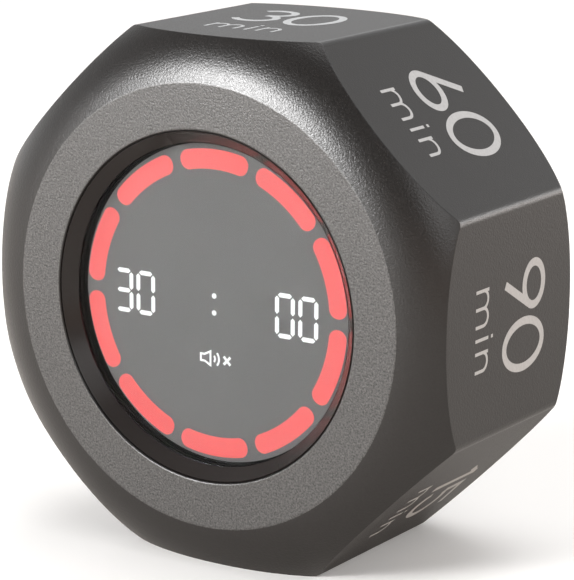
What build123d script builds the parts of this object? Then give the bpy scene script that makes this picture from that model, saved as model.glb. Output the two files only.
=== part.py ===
from build123d import *

import os
from math import asin, atan2, cos, degrees, radians, sin, sqrt, tan

# Eight-sided kitchen timer that starts a countdown when it is set down on another face.
# Millimetres, +Z up. The origin is under the middle of the case, on the face that it stands on.
# The display looks along -Y, and a depth is measured from the flat front ring towards +Y.

# Case
across_flats = 65.0
case_depth = 35.0
side_wall = 2.2
front_wall = 2.6
corner_fillet = 1.4
front_ring_width = 5.65
front_edge_reach = 5.4
front_edge_slope = 8.4
front_edge_radius = 11.6
front_edge_sweep = 57.0
rear_edge_reach = 7.1
rear_edge_radius = 11.8
rear_edge_sweep = 65.0
turning_margin = 1.0
rim_fillet = 0.25

# Display window
bezel_setback = 0.15
bezel_lip = 0.15
bezel_flange = 0.9
bezel_flange_thickness = 1.2
bezel_slope_width = 1.68
lens_recess = 1.65
lens_thickness = 1.6
lens_step = 0.8
lens_flange = 0.9
gasket_thickness = 0.15
gasket_width = 0.8
film_thickness = 0.2

# Lit figures
ring_margin = 0.75
ring_width = 2.45
ring_count = 10
ring_gap = 1.3
ring_corner = 0.95
digit_height = 5.5
digit_width = 2.8
digit_stroke = 0.52
digit_pitch = 3.3
digit_margin = 3.07
segment_gap = 0.25
colon_radius = 0.33
colon_rise = 1.05
symbol_width = 4.8
symbol_height = 2.2
symbol_drop = 6.9
symbol_corner = 0.4
guide_length = 5.2
guide_gap = 0.04

# Display board
baffle_thickness = 5.8
led_board_thickness = 1.0
led_height = 0.4
led_length = 1.0
led_width = 0.45
colon_led_side = 0.4
ring_led_length = 1.6
ring_led_width = 0.8
display_post_radius = 2.2
display_post_reach = 3.6
display_ear_radius = 2.5
display_screw_length = 4.5

# Screws
screw_head_radius = 1.75
screw_head_height = 1.3
screw_head_fillet = 0.5
screw_shank_radius = 1.0
cross_length = 2.0
cross_width = 0.45
cross_depth = 0.7
thread_gap = 0.03
screw_hole_gap = 0.1
screw_tip_room = 0.6

# Rear cover
pad_stand = 0.5
cover_wall = 2.2
cover_lip = 1.0
cover_gap = 0.12
cover_rim = 0.8
cover_rim_fillet = 0.2
cover_mouth_fillet = 0.25
spigot_wall = 1.4
spigot_length = 2.5
cover_post_inset = 5.1
cover_post_radius = 2.4
cover_tube_radius = 2.6
cover_tube_length = 3.8
cover_screw_angles = (22.5, 157.5, 202.5, 337.5)
cover_screw_length = 8.0
head_seat_wall = 1.8
head_pocket_gap = 0.35
post_rib_thickness = 1.2
rib_overlap = 0.5

# Pad and magnets
pad_radius = 12.8
pad_thickness = 1.3
pad_fillet = 0.3
pad_gap = 0.08
magnet_count = 4
magnet_radius = 4.0
magnet_thickness = 2.0
magnet_circle = 7.2
magnet_gap = 0.06
magnet_ring_wall = 0.9

# Main board
board_gap = 4.7
main_board_thickness = 1.2
board_edge_gap = 0.4
board_screw_inset = 2.2
board_post_radius = 2.0
board_screw_length = 5.0
chip_side = 7.0
chip_height = 0.9
chip_offset = 5.6
sensor_side = 2.5
charger_side = 3.0
charger_drop = 7.0
capacitor_length = 1.6
capacitor_width = 0.8
capacitor_height = 0.8
capacitor_pitch = 2.2

# Battery
tape_thickness = 0.5
tape_inset = 1.0
battery_thickness = 8.0
battery_side_gap = 0.4
battery_end_gap = 2.7
battery_fillet = 1.5
lead_radius = 0.5
lead_pitch = 2.0
lead_exit = 1.6
lead_bend = 3.0
plug_width = 5.6
plug_depth = 4.2
plug_height = 3.0

# Ribbon between the boards
connector_width = 12.0
connector_depth = 2.6
connector_height = 2.0
connector_inset = 4.2
ribbon_width = 10.0
ribbon_thickness = 0.3
ribbon_entry = 1.2
ribbon_bow = 1.2
ribbon_bend_share = 0.45
ribbon_gap = 0.05

# Buzzer
buzzer_radius = 5.5
buzzer_height = 4.0
buzzer_edge_gap = 0.7
buzzer_port_radius = 1.0
buzzer_port_depth = 1.0
sound_hole_radius = 0.5
sound_hole_circle = 2.0
sound_hole_count = 6

# Charging socket
control_inset = 4.7
usb_width = 8.94
usb_thickness = 3.26
usb_wall = 0.3
usb_setback = 0.4
usb_base = 1.8
usb_tongue_width = 6.7
usb_tongue_thickness = 0.7
usb_tongue_setback = 0.7
usb_slot_gap = 0.15
usb_fit_gap = 0.02

# Power switch
switch_length = 9.0
switch_width = 3.6
switch_height = 3.0
switch_travel = 2.5
lever_side = 1.4
lever_sink = 1.0
lever_socket = 0.6
knob_length = 3.2
knob_width = 2.4
knob_recess = 0.1
knob_fillet = 0.2
knob_plate_length = 8.6
knob_plate_width = 4.8
knob_plate_thickness = 0.9
thumb_recess_length = 10.4
thumb_recess_width = 5.0
thumb_recess_depth = 0.9
grip_count = 3
grip_pitch = 0.8
grip_width = 0.3
grip_depth = 0.25
slide_gap = 0.12

# Sound button
button_radius = 3.0
button_flange = 0.7
button_flange_thickness = 0.95
button_stand = 0.3
button_fillet = 0.3
button_dish_radius = 9.0
button_dish_depth = 0.25
button_travel = 0.4
tact_side = 6.0
tact_height = 3.0
plunger_radius = 1.7
plunger_sink = 1.0
plunger_room = 0.3

# Small clearance for a piece that drops into another
fit_gap = 0.05

# Worked-out radii
case_radius = across_flats / 2
bore_radius = case_radius - side_wall
front_ring_radius = case_radius - front_edge_reach
opening_radius = front_ring_radius - front_ring_width
lens_radius = opening_radius - bezel_slope_width
lens_flange_radius = lens_radius + lens_flange
baffle_radius = lens_flange_radius - fit_gap
ring_outer = lens_radius - ring_margin
ring_inner = ring_outer - ring_width
outer_digit = ring_inner - digit_margin
inner_digit = outer_digit - digit_pitch
display_screw_circle = opening_radius + display_post_reach
rear_flat_radius = case_radius - rear_edge_reach
cover_radius = case_radius - cover_lip
cover_screw_circle = bore_radius - cover_post_inset
led_board_radius = cover_screw_circle - cover_post_radius - board_edge_gap
main_board_radius = cover_screw_circle - cover_tube_radius - board_edge_gap
board_screw_circle = main_board_radius - board_screw_inset
board_screw_offset = board_screw_circle * cos(radians(45))
control_offset = main_board_radius - control_inset
connector_offset = main_board_radius - connector_inset
buzzer_offset = main_board_radius - buzzer_radius - buzzer_edge_gap
chip_place = main_board_radius - chip_offset

# Worked-out depths
lens_shoulder = lens_recess + lens_step
lens_back = lens_recess + lens_thickness
film_front = lens_back + gasket_thickness
baffle_front = film_front + film_thickness
led_board_front = baffle_front + baffle_thickness
led_board_back = led_board_front + led_board_thickness
cover_back = case_depth - pad_stand
cover_inside = cover_back - cover_wall
rim_drop = rear_edge_radius - sqrt(rear_edge_radius**2 - (cover_radius - rear_flat_radius) ** 2)
cover_seat = cover_back - rim_drop - cover_rim
post_top = cover_inside - cover_tube_length
head_seat = post_top + head_seat_wall
main_board_back = cover_inside - board_gap
main_board_front = main_board_back - main_board_thickness
battery_back = main_board_front - tape_thickness
battery_front = battery_back - battery_thickness
switch_top = main_board_back + switch_height
tact_top = main_board_back + tact_height
plate_front = cover_inside - slide_gap - knob_plate_thickness
flange_front = cover_inside - slide_gap - button_flange_thickness

# Battery size between the board screws and the connectors
battery_width = 2 * (board_screw_offset - screw_head_radius - battery_side_gap)
battery_height = 2 * (connector_offset - connector_depth / 2 - battery_end_gap)

case_axis = Axis((0, 0, case_radius), (0, 1, 0))
profile_plane = Plane(origin=(0, -case_depth / 2, case_radius), x_dir=(1, 0, 0), z_dir=(0, 0, 1))
cover_screw_places = [
    (cover_screw_circle * cos(radians(a)), cover_screw_circle * sin(radians(a)))
    for a in cover_screw_angles
]
board_screw_places = [
    (sx * board_screw_offset, sz * board_screw_offset) for sx in (1, -1) for sz in (1, -1)
]
display_screw_offset = display_screw_circle * cos(radians(45))
display_screw_places = [
    (sx * display_screw_offset, sz * display_screw_offset) for sx in (1, -1) for sz in (1, -1)
]


def facing_front(depth):
    """Plane at a depth, drawn as seen from the front. Its normal points at the viewer."""
    return Plane(origin=(0, depth - case_depth / 2, case_radius), x_dir=(1, 0, 0), z_dir=(0, -1, 0))


def facing_rear(depth):
    """Plane at a depth, drawn as seen from behind. Its normal points away from the display."""
    return Plane(origin=(0, depth - case_depth / 2, case_radius), x_dir=(-1, 0, 0), z_dir=(0, 1, 0))


def reach(edge):
    """Furthest distance of an edge from the case's axis."""
    points = [edge @ share for share in (0, 0.25, 0.5, 0.75, 1)]
    return max(sqrt(point.X**2 + (point.Z - case_radius) ** 2) for point in points)


def finish(piece, name):
    """Label a piece and write it to its own file."""
    piece.part.label = name
    export_step(piece.part, f"parts/{name}.step")


def pan_head_screws(seat, places, length):
    """Cross-head screws whose heads rest on the seat plane and whose shanks go in behind it."""
    with BuildPart() as screws:
        with BuildSketch(seat):
            with Locations(*places):
                Circle(screw_head_radius)
        extrude(amount=screw_head_height)
        head_edges = screws.edges().group_by(Axis(seat.origin, seat.z_dir))[-1]
        fillet(head_edges, screw_head_fillet)
        with BuildSketch(seat):
            with Locations(*places):
                Circle(screw_shank_radius)
        extrude(amount=-length)
        with BuildSketch(seat.offset(screw_head_height)):
            with Locations(*places):
                Rectangle(cross_length, cross_width)
                Rectangle(cross_width, cross_length)
        extrude(amount=-cross_depth, mode=Mode.SUBTRACT)
    return screws


def segment_bars():
    """Place, turn and length of every bar of the four seven-segment digits."""
    half_width = (digit_width - digit_stroke) / 2
    half_height = (digit_height - digit_stroke) / 2
    cut = segment_gap * sqrt(2)
    bars = []
    for centre in (-outer_digit, -inner_digit, inner_digit, outer_digit):
        for level in (-1, 0, 1):
            bars.append((centre, level * half_height, 0, 2 * half_width - cut))
        for side in (-1, 1):
            for level in (-0.5, 0.5):
                bars.append((centre + side * half_width, level * half_height, 90, half_height - cut))
    return bars


def draw_digits(extra):
    """Draw all digit bars, the colon and the symbol's window, each grown by extra."""
    half = digit_stroke / 2 + extra
    for x, z, turn, length in segment_bars():
        tip = length / 2 + extra * sqrt(2)
        flat = tip - half
        points = [(-tip, 0), (-flat, half), (flat, half), (tip, 0), (flat, -half), (-flat, -half)]
        with Locations(Location((x, z, 0), (0, 0, turn))):
            Polygon(*points, align=None)
    with Locations((0, colon_rise), (0, -colon_rise)):
        Circle(colon_radius + extra)
    with Locations((0, -symbol_drop)):
        RectangleRounded(symbol_width + 2 * extra, symbol_height + 2 * extra, symbol_corner + extra)


def draw_ring(plane, extra):
    """Sketch of the ring of round-ended arc segments, each grown by extra."""
    with BuildSketch(plane) as ring:
        Circle(ring_outer + extra)
        Circle(ring_inner - extra, mode=Mode.SUBTRACT)
        with PolarLocations((ring_outer + ring_inner) / 2, ring_count):
            Rectangle(2 * ring_width, ring_gap - 2 * extra, mode=Mode.SUBTRACT)
        fillet(ring.vertices(), ring_corner + extra)
    return ring.sketch


os.makedirs("parts", exist_ok=True)

# Housing: eight-sided bar turned round at both ends, hollowed from the rear, with posts inside
with BuildPart() as housing:
    with BuildSketch(facing_front(0)):
        RegularPolygon(case_radius, 8, major_radius=False, rotation=22.5)
    extrude(amount=-case_depth)
    fillet(housing.edges().filter_by(Axis.Y), corner_fillet)
    with BuildSketch(profile_plane):
        with BuildLine():
            slope = (cos(radians(front_edge_slope)), sin(radians(front_edge_slope)))
            front_arc = JernArc((front_ring_radius, 0), slope, front_edge_radius, front_edge_sweep)
            rear_arc = JernArc((rear_flat_radius, cover_back), (1, 0), rear_edge_radius, -rear_edge_sweep)
            outside = max((front_arc @ 1).X, (rear_arc @ 1).X) + turning_margin
            Polyline(
                front_arc @ 1,
                (outside, (front_arc @ 1).Y),
                (outside, (rear_arc @ 1).Y),
                rear_arc @ 1,
            )
            Polyline((rear_flat_radius, cover_back), (0, cover_back), (0, 0), (front_ring_radius, 0))
        make_face()
    revolve(axis=case_axis, mode=Mode.INTERSECT)
    with BuildSketch(facing_front(front_wall)):
        Circle(bore_radius)
    extrude(amount=-case_depth, mode=Mode.SUBTRACT)
    with BuildSketch(facing_front(cover_seat)):
        Circle(cover_radius + cover_gap)
    extrude(amount=-case_depth, mode=Mode.SUBTRACT)
    with BuildSketch(facing_front(0)):
        Circle(opening_radius)
    extrude(amount=-front_wall, mode=Mode.SUBTRACT)
    rim = housing.edges().filter_by(GeomType.CIRCLE).group_by(Axis.Y)[0].sort_by(SortBy.RADIUS)[0]
    fillet(rim, rim_fillet)
    # Long posts for the cover screws, each tied to the wall by a rib
    with BuildSketch(facing_front(front_wall)):
        with Locations(*cover_screw_places):
            Circle(cover_post_radius)
        for angle in cover_screw_angles:
            rib_length = cover_post_inset + rib_overlap
            with PolarLocations(cover_screw_circle + rib_length / 2, 1, start_angle=angle):
                Rectangle(rib_length, post_rib_thickness)
    extrude(amount=-(post_top - front_wall))
    # Short posts for the display screws
    with BuildSketch(facing_front(front_wall)):
        with Locations(*display_screw_places):
            Circle(display_post_radius)
    extrude(amount=-(led_board_front - front_wall))
    with Locations(facing_rear(post_top)):
        with Locations(*cover_screw_places):
            Hole(screw_shank_radius + thread_gap, cover_screw_length - head_seat_wall + screw_tip_room)
    with Locations(facing_rear(led_board_front)):
        with Locations(*display_screw_places):
            Hole(screw_shank_radius + thread_gap, display_screw_length)
finish(housing, "housing")

# Display bezel: dark ring whose slope leads from the front ring down to the lens
with BuildPart() as display_bezel:
    bezel_radius = opening_radius - fit_gap
    bezel_back = front_wall + bezel_flange_thickness
    with BuildSketch(profile_plane):
        with BuildLine():
            Polyline(
                (bezel_radius - bezel_lip, bezel_setback),
                (bezel_radius, bezel_setback + bezel_lip),
                (bezel_radius, front_wall),
                (opening_radius + bezel_flange, front_wall),
                (opening_radius + bezel_flange, bezel_back),
                (lens_flange_radius + fit_gap, bezel_back),
                (lens_flange_radius + fit_gap, lens_shoulder),
                (lens_radius + fit_gap, lens_shoulder),
                (lens_radius + fit_gap, lens_recess),
                close=True,
            )
        make_face()
    revolve(axis=case_axis)
finish(display_bezel, "display_bezel")

# Display lens: clear stepped disc that drops into the bezel from behind
with BuildPart() as display_lens:
    with BuildSketch(facing_front(lens_recess)):
        Circle(lens_radius)
    extrude(amount=-lens_thickness)
    with BuildSketch(facing_front(lens_shoulder)):
        Circle(lens_flange_radius)
    extrude(amount=-(lens_thickness - lens_step))
finish(display_lens, "display_lens")

# Lens gasket: thin adhesive ring between the lens and the film
with BuildPart() as lens_gasket:
    with BuildSketch(facing_front(lens_back)):
        Circle(lens_flange_radius)
        Circle(lens_flange_radius - gasket_width, mode=Mode.SUBTRACT)
    extrude(amount=-gasket_thickness)
finish(lens_gasket, "lens_gasket")

# Display film: grey sheet that hides the figures until they are lit
with BuildPart() as display_film:
    with BuildSketch(facing_front(film_front)):
        Circle(lens_flange_radius)
    extrude(amount=-film_thickness)
finish(display_film, "display_film")

# Light baffle: block with one shaft for each lit figure
with BuildPart() as light_baffle:
    with BuildSketch(facing_front(baffle_front)):
        Circle(baffle_radius)
    extrude(amount=-baffle_thickness)
    with BuildSketch(facing_front(baffle_front)):
        draw_digits(guide_gap)
    extrude(amount=-baffle_thickness, mode=Mode.SUBTRACT)
    ring_shafts = draw_ring(facing_front(baffle_front), guide_gap)
    extrude(ring_shafts, amount=-baffle_thickness, mode=Mode.SUBTRACT)
finish(light_baffle, "light_baffle")

# Digit light guides: clear bars, dots and a block that carry light to the film
with BuildPart() as digit_light_guides:
    with BuildSketch(facing_front(baffle_front)):
        draw_digits(0)
    extrude(amount=-guide_length)
finish(digit_light_guides, "digit_light_guides")

# Ring light guides: red arc segments around the digits
with BuildPart() as ring_light_guides:
    ring_arcs = draw_ring(facing_front(baffle_front), 0)
    extrude(ring_arcs, amount=-guide_length)
finish(ring_light_guides, "ring_light_guides")

# Display lamps: one on the board behind each light guide
with BuildPart() as display_leds:
    with BuildSketch(facing_front(led_board_front)):
        for x, z, turn, length in segment_bars():
            with Locations(Location((x, z, 0), (0, 0, turn))):
                Rectangle(led_length, led_width)
        with Locations((0, colon_rise), (0, -colon_rise)):
            Rectangle(colon_led_side, colon_led_side)
        with Locations((0, -symbol_drop)):
            Rectangle(ring_led_length, ring_led_width)
        half_step = 180 / ring_count
        with PolarLocations((ring_outer + ring_inner) / 2, ring_count, start_angle=half_step):
            Rectangle(ring_led_width, ring_led_length)
    extrude(amount=led_height)
finish(display_leds, "display_leds")

# Display board: disc with four ears that are screwed to the housing's short posts
with BuildPart() as led_board:
    with BuildSketch(facing_front(led_board_front)):
        Circle(led_board_radius)
        with Locations(*display_screw_places):
            Circle(display_ear_radius)
        with PolarLocations(display_screw_circle / 2, 4, start_angle=45):
            Rectangle(display_screw_circle, 2 * display_ear_radius)
        with Locations(*display_screw_places):
            Circle(screw_shank_radius + screw_hole_gap, mode=Mode.SUBTRACT)
    extrude(amount=-led_board_thickness)
finish(led_board, "led_board")

display_screws = pan_head_screws(facing_rear(led_board_back), display_screw_places, display_screw_length)
finish(display_screws, "display_screws")

# Rear cover: round dish with a spigot, screw tubes, board posts and magnet rings
with BuildPart() as rear_cover:
    spigot_radius = bore_radius - cover_gap
    with BuildSketch(profile_plane):
        with BuildLine():
            rim_sweep = degrees(asin((cover_radius - rear_flat_radius) / rear_edge_radius))
            JernArc((rear_flat_radius, cover_back), (1, 0), rear_edge_radius, -rim_sweep)
            Polyline(
                (cover_radius, cover_back - rim_drop),
                (cover_radius, cover_seat),
                (spigot_radius, cover_seat),
                (spigot_radius, cover_seat - spigot_length),
                (spigot_radius - spigot_wall, cover_seat - spigot_length),
                (spigot_radius - spigot_wall, cover_inside),
                (0, cover_inside),
                (0, cover_back),
                (rear_flat_radius, cover_back),
            )
        make_face()
    revolve(axis=case_axis)
    with BuildSketch(facing_front(cover_inside)):
        with Locations(*cover_screw_places):
            Circle(cover_tube_radius)
    extrude(amount=cover_inside - post_top)
    with BuildSketch(facing_front(cover_inside)):
        with Locations(*board_screw_places):
            Circle(board_post_radius)
    extrude(amount=board_gap)
    with BuildSketch(facing_front(cover_inside)):
        with PolarLocations(magnet_circle, magnet_count, start_angle=45):
            Circle(magnet_radius + magnet_gap + magnet_ring_wall)
            Circle(magnet_radius + magnet_gap, mode=Mode.SUBTRACT)
    extrude(amount=magnet_thickness)
    # Screw holes from behind and, for the board, from the front
    with Locations(facing_rear(cover_back)):
        with Locations(*cover_screw_places):
            CounterBoreHole(
                screw_shank_radius + screw_hole_gap,
                screw_head_radius + head_pocket_gap,
                cover_back - head_seat,
            )
    with Locations(facing_front(main_board_back)):
        with Locations(*board_screw_places):
            Hole(screw_shank_radius + thread_gap, board_screw_length - main_board_thickness + screw_tip_room)
    # Recess for the pad
    with BuildSketch(facing_rear(cover_back)):
        Circle(pad_radius + pad_gap)
    extrude(amount=-(pad_thickness - pad_stand), mode=Mode.SUBTRACT)
    # Slot for the charging socket
    with BuildSketch(facing_rear(cover_back)):
        with Locations((0, -control_offset)):
            SlotOverall(usb_width + 2 * usb_slot_gap, usb_thickness + 2 * usb_slot_gap)
    extrude(amount=-cover_wall, mode=Mode.SUBTRACT)
    # Sound holes over the buzzer
    with BuildSketch(facing_rear(cover_back)):
        with Locations((0, buzzer_offset)):
            Circle(sound_hole_radius)
            with PolarLocations(sound_hole_circle, sound_hole_count):
                Circle(sound_hole_radius)
    extrude(amount=-cover_wall, mode=Mode.SUBTRACT)
    # Thumb recess and slot for the power switch
    with BuildSketch(facing_rear(cover_back)):
        with Locations(Location((control_offset, 0, 0), (0, 0, 90))):
            SlotOverall(thumb_recess_length, thumb_recess_width)
    extrude(amount=-thumb_recess_depth, mode=Mode.SUBTRACT)
    with BuildSketch(facing_rear(cover_back)):
        with Locations((control_offset, 0)):
            Rectangle(knob_width + 2 * slide_gap, knob_length + switch_travel + 2 * slide_gap)
    extrude(amount=-cover_wall, mode=Mode.SUBTRACT)
    # Hole for the sound button
    with BuildSketch(facing_rear(cover_back)):
        with Locations((-control_offset, 0)):
            Circle(button_radius + slide_gap)
    extrude(amount=-cover_wall, mode=Mode.SUBTRACT)
    # Softened mouths of the recesses and holes, and the softened rim
    mouths = rear_cover.edges().group_by(Axis.Y)[-1]
    fillet([edge for edge in mouths if reach(edge) < main_board_radius], cover_mouth_fillet)
    rims = rear_cover.edges().filter_by(GeomType.CIRCLE).group_by(SortBy.RADIUS)[-1]
    fillet(rims.sort_by(Axis.Y)[-1], cover_rim_fillet)
finish(rear_cover, "rear_cover")

cover_screws = pan_head_screws(facing_rear(head_seat), cover_screw_places, cover_screw_length)
finish(cover_screws, "cover_screws")

# Back pad: soft disc that stands a little proud of the cover
with BuildPart() as back_pad:
    with BuildSketch(facing_rear(case_depth)):
        Circle(pad_radius)
    extrude(amount=-pad_thickness)
    fillet(back_pad.edges().group_by(Axis.Y)[-1], pad_fillet)
finish(back_pad, "back_pad")

# Magnets: discs in the cover's rings
with BuildPart() as magnets:
    with BuildSketch(facing_front(cover_inside)):
        with PolarLocations(magnet_circle, magnet_count, start_angle=45):
            Circle(magnet_radius)
    extrude(amount=magnet_thickness)
finish(magnets, "magnets")

# Main board on the cover's posts
with BuildPart() as main_board:
    with BuildSketch(facing_rear(main_board_back)):
        Circle(main_board_radius)
        with Locations(*board_screw_places):
            Circle(screw_shank_radius + screw_hole_gap, mode=Mode.SUBTRACT)
    extrude(amount=-main_board_thickness)
finish(main_board, "main_board")

board_screws = pan_head_screws(facing_front(main_board_front), board_screw_places, board_screw_length)
finish(board_screws, "board_screws")

# Chips on the front of the main board
with BuildPart() as controller_chip:
    with BuildSketch(facing_front(main_board_front)):
        with Locations((chip_place, 0)):
            Rectangle(chip_side, chip_side)
    extrude(amount=chip_height)
finish(controller_chip, "controller_chip")

with BuildPart() as tilt_sensor:
    with BuildSketch(facing_front(main_board_front)):
        with Locations((-chip_place, 0)):
            Rectangle(sensor_side, sensor_side)
    extrude(amount=chip_height)
finish(tilt_sensor, "tilt_sensor")

with BuildPart() as charger_chip:
    with BuildSketch(facing_front(main_board_front)):
        with Locations((-chip_place, -charger_drop)):
            Rectangle(charger_side, charger_side)
    extrude(amount=chip_height)
finish(charger_chip, "charger_chip")

with BuildPart() as board_capacitors:
    with BuildSketch(facing_front(main_board_front)):
        with Locations((-chip_place, charger_drop), (chip_place, charger_drop)):
            with GridLocations(0, capacitor_pitch, 1, 3):
                Rectangle(capacitor_length, capacitor_width)
    extrude(amount=capacitor_height)
finish(board_capacitors, "board_capacitors")

# Battery: pouch cell taped to the front of the main board
with BuildPart() as battery_tape:
    with BuildSketch(facing_front(main_board_front)):
        Rectangle(battery_width - 2 * tape_inset, battery_height - 2 * tape_inset)
    extrude(amount=tape_thickness)
finish(battery_tape, "battery_tape")

with BuildPart() as battery_cell:
    with BuildSketch(facing_front(battery_back)):
        Rectangle(battery_width, battery_height)
    extrude(amount=battery_thickness)
    fillet(battery_cell.edges().filter_by(Axis.Z), battery_fillet)
finish(battery_cell, "battery_cell")

with BuildPart() as battery_plug:
    with BuildSketch(facing_front(main_board_front)):
        with Locations((0, -connector_offset)):
            Rectangle(plug_width, plug_depth)
    extrude(amount=plug_height)
finish(battery_plug, "battery_plug")

# Battery leads: out of the cell's lower end, over a bend and into the plug
for lead_name, side in (("battery_lead_red", 1), ("battery_lead_black", -1)):
    with BuildPart() as battery_lead:
        exit_depth = battery_front + lead_exit - case_depth / 2
        plug_face = main_board_front - plug_height - case_depth / 2
        lead_x = side * lead_pitch / 2
        with BuildLine() as lead_route:
            FilletPolyline(
                (lead_x, exit_depth, case_radius - battery_height / 2),
                (lead_x, exit_depth, case_radius - connector_offset),
                (lead_x, plug_face, case_radius - connector_offset),
                radius=lead_bend,
            )
        with BuildSketch(Plane(origin=lead_route.line @ 0, z_dir=lead_route.line % 0)):
            Circle(lead_radius)
        sweep()
    finish(battery_lead, lead_name)

# Ribbon cable with a connector on each board
with BuildPart() as display_connector:
    with BuildSketch(facing_rear(led_board_back)):
        with Locations((0, connector_offset)):
            Rectangle(connector_width, connector_depth)
            Rectangle(
                ribbon_width + 2 * ribbon_gap, ribbon_thickness + 2 * ribbon_gap, mode=Mode.SUBTRACT
            )
    extrude(amount=connector_height)
finish(display_connector, "display_connector")

with BuildPart() as main_connector:
    with BuildSketch(facing_front(main_board_front)):
        with Locations((0, connector_offset)):
            Rectangle(connector_width, connector_depth)
            Rectangle(
                ribbon_width + 2 * ribbon_gap, ribbon_thickness + 2 * ribbon_gap, mode=Mode.SUBTRACT
            )
    extrude(amount=connector_height)
finish(main_connector, "main_connector")

with BuildPart() as ribbon_cable:
    ribbon_start = led_board_back + connector_height - ribbon_entry
    ribbon_end = main_board_front - connector_height + ribbon_entry
    ribbon_middle = (ribbon_start + ribbon_end) / 2
    straight = 2 * ribbon_entry
    ribbon_rise = atan2(ribbon_bow, ribbon_middle - ribbon_start - straight)
    ribbon_run = ribbon_bow / sin(ribbon_rise)
    entry_bend = ribbon_bend_share * min(straight, ribbon_run) / tan(ribbon_rise / 2)
    crest_bend = ribbon_bend_share * ribbon_run / tan(ribbon_rise)
    ribbon_plane = Plane(
        origin=(-ribbon_width / 2, -case_depth / 2, case_radius + connector_offset),
        x_dir=(0, 1, 0),
        z_dir=(1, 0, 0),
    )
    with BuildSketch(ribbon_plane):
        with BuildLine():
            FilletPolyline(
                (ribbon_start, 0),
                (ribbon_start + straight, 0),
                (ribbon_middle, ribbon_bow),
                (ribbon_end - straight, 0),
                (ribbon_end, 0),
                radius=(entry_bend, crest_bend, entry_bend),
            )
        trace(line_width=ribbon_thickness)
    extrude(amount=ribbon_width)
finish(ribbon_cable, "ribbon_cable")

# Buzzer: round sounder under the sound holes
with BuildPart() as buzzer:
    with BuildSketch(facing_rear(main_board_back)):
        with Locations((0, buzzer_offset)):
            Circle(buzzer_radius)
    extrude(amount=buzzer_height)
    with Locations(facing_rear(main_board_back + buzzer_height)):
        with Locations((0, buzzer_offset)):
            Hole(buzzer_port_radius, buzzer_port_depth)
finish(buzzer, "buzzer")

# Charging socket: upright metal shell around a thin tongue
with BuildPart() as usb_c_shell:
    usb_height = cover_back - usb_setback - main_board_back
    with BuildSketch(facing_rear(main_board_back)):
        with Locations((0, -control_offset)):
            SlotOverall(usb_width, usb_thickness)
            SlotOverall(usb_width - 2 * usb_wall, usb_thickness - 2 * usb_wall, mode=Mode.SUBTRACT)
    extrude(amount=usb_height)
finish(usb_c_shell, "usb_c_shell")

with BuildPart() as usb_c_tongue:
    inner_width = usb_width - 2 * usb_wall - 2 * usb_fit_gap
    inner_thickness = usb_thickness - 2 * usb_wall - 2 * usb_fit_gap
    with BuildSketch(facing_rear(main_board_back)):
        with Locations((0, -control_offset)):
            SlotOverall(inner_width, inner_thickness)
    extrude(amount=usb_base)
    with BuildSketch(facing_rear(main_board_back)):
        with Locations((0, -control_offset)):
            Rectangle(usb_tongue_width, usb_tongue_thickness)
    extrude(amount=usb_height - usb_tongue_setback)
finish(usb_c_tongue, "usb_c_tongue")

# Power switch: a body on the board, a lever that slides in it and a knob on the lever
with BuildPart() as slide_switch_body:
    with BuildSketch(facing_rear(main_board_back)):
        with Locations((control_offset, 0)):
            Rectangle(switch_width, switch_length)
    extrude(amount=switch_height)
    with BuildSketch(facing_rear(switch_top)):
        with Locations((control_offset, 0)):
            Rectangle(lever_side + 2 * slide_gap, lever_side + switch_travel + 2 * slide_gap)
    extrude(amount=-(lever_sink + slide_gap), mode=Mode.SUBTRACT)
finish(slide_switch_body, "slide_switch_body")

with BuildPart() as slide_switch_lever:
    with BuildSketch(facing_rear(switch_top - lever_sink)):
        with Locations((control_offset, switch_travel / 2)):
            Rectangle(lever_side, lever_side)
    extrude(amount=plate_front + lever_socket - switch_top + lever_sink)
finish(slide_switch_lever, "slide_switch_lever")

with BuildPart() as power_switch_knob:
    knob_top = cover_back - knob_recess
    with BuildSketch(facing_rear(plate_front)):
        with Locations((control_offset, switch_travel / 2)):
            Rectangle(knob_plate_width, knob_plate_length)
    extrude(amount=knob_plate_thickness)
    with BuildSketch(facing_rear(plate_front)):
        with Locations((control_offset, switch_travel / 2)):
            Rectangle(knob_width, knob_length)
    extrude(amount=knob_top - plate_front)
    fillet(power_switch_knob.edges().group_by(Axis.Y)[-1], knob_fillet)
    with BuildSketch(facing_rear(knob_top)):
        with Locations((control_offset, switch_travel / 2)):
            with GridLocations(0, grip_pitch, 1, grip_count):
                Rectangle(knob_width, grip_width)
    extrude(amount=-grip_depth, mode=Mode.SUBTRACT)
    with BuildSketch(facing_rear(plate_front)):
        with Locations((control_offset, switch_travel / 2)):
            Rectangle(lever_side + 2 * fit_gap, lever_side + 2 * fit_gap)
    extrude(amount=lever_socket + fit_gap, mode=Mode.SUBTRACT)
finish(power_switch_knob, "power_switch_knob")

# Sound button: a switch body on the board, its plunger and the cap that pushes it
with BuildPart() as tact_switch_body:
    with BuildSketch(facing_rear(main_board_back)):
        with Locations((-control_offset, 0)):
            Rectangle(tact_side, tact_side)
    extrude(amount=tact_height)
    with Locations(facing_rear(tact_top)):
        with Locations((-control_offset, 0)):
            Hole(plunger_radius + slide_gap, plunger_sink + button_travel + plunger_room)
finish(tact_switch_body, "tact_switch_body")

with BuildPart() as tact_switch_plunger:
    with BuildSketch(facing_rear(tact_top - plunger_sink)):
        with Locations((-control_offset, 0)):
            Circle(plunger_radius)
    extrude(amount=flange_front - tact_top + plunger_sink)
finish(tact_switch_plunger, "tact_switch_plunger")

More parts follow.
